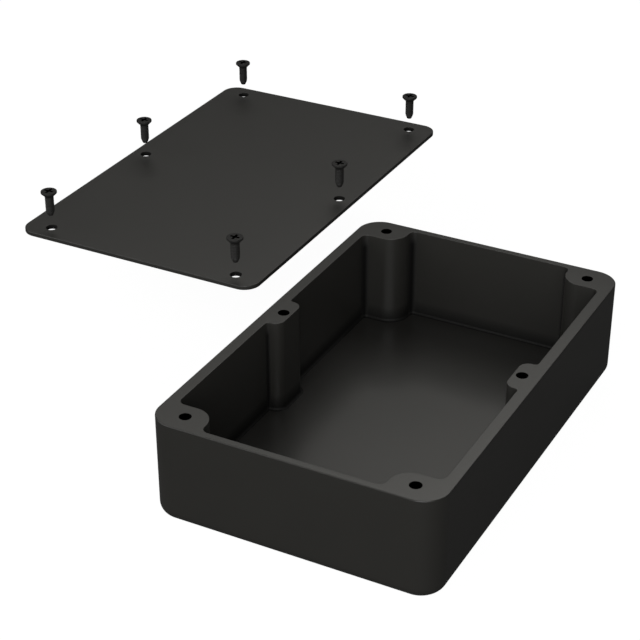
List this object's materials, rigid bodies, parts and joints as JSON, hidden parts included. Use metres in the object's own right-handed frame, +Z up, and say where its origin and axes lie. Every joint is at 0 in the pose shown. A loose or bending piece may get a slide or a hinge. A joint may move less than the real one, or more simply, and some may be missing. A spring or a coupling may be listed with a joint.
{
  "type": "die cast enclosure",
  "caption": "Rectangular die cast metal box with rounded corners and screw bosses inside, its flat lid and its screws shown taken off.",
  "frame": {"origin": "middle of the box's underside", "axes": "+X along the box from its front end to its rear end, +Y to its left side, +Z up"},
  "size_m": [0.2891, 0.2507, 0.0637],
  "materials": {
    "box_finish": "satin black paint on cast aluminium",
    "lid_finish": "satin black paint on cast aluminium",
    "screw_finish": "blackened steel"
  },
  "bodies": {
    "box": {"box": "box_finish"},
    "lid": {"lid": "lid_finish"},
    "screw_front_left": {"screw_front_left": "screw_finish"},
    "screw_front_right": {"screw_front_right": "screw_finish"},
    "screw_middle_left": {"screw_middle_left": "screw_finish"},
    "screw_middle_right": {"screw_middle_right": "screw_finish"},
    "screw_rear_left": {"screw_rear_left": "screw_finish"},
    "screw_rear_right": {"screw_rear_right": "screw_finish"}
  },
  "joints": [
    {"name": "lid_slide", "type": "slide", "parent": "box", "child": "lid", "axis": [-0.611, -0.7916, 0], "range_m": [0, 0.16612]},
    {"name": "screw_front_left_slide", "type": "slide", "parent": "lid", "child": "screw_front_left", "axis": [0, 0, -1], "range_m": [0, 0.01595]},
    {"name": "screw_front_right_slide", "type": "slide", "parent": "lid", "child": "screw_front_right", "axis": [0, 0, -1], "range_m": [0, 0.01595]},
    {"name": "screw_middle_left_slide", "type": "slide", "parent": "lid", "child": "screw_middle_left", "axis": [0, 0, -1], "range_m": [0, 0.01595]},
    {"name": "screw_middle_right_slide", "type": "slide", "parent": "lid", "child": "screw_middle_right", "axis": [0, 0, -1], "range_m": [0, 0.01595]},
    {"name": "screw_rear_left_slide", "type": "slide", "parent": "lid", "child": "screw_rear_left", "axis": [0, 0, -1], "range_m": [0, 0.01595]},
    {"name": "screw_rear_right_slide", "type": "slide", "parent": "lid", "child": "screw_rear_right", "axis": [0, 0, -1], "range_m": [0, 0.01595]}
  ]
}
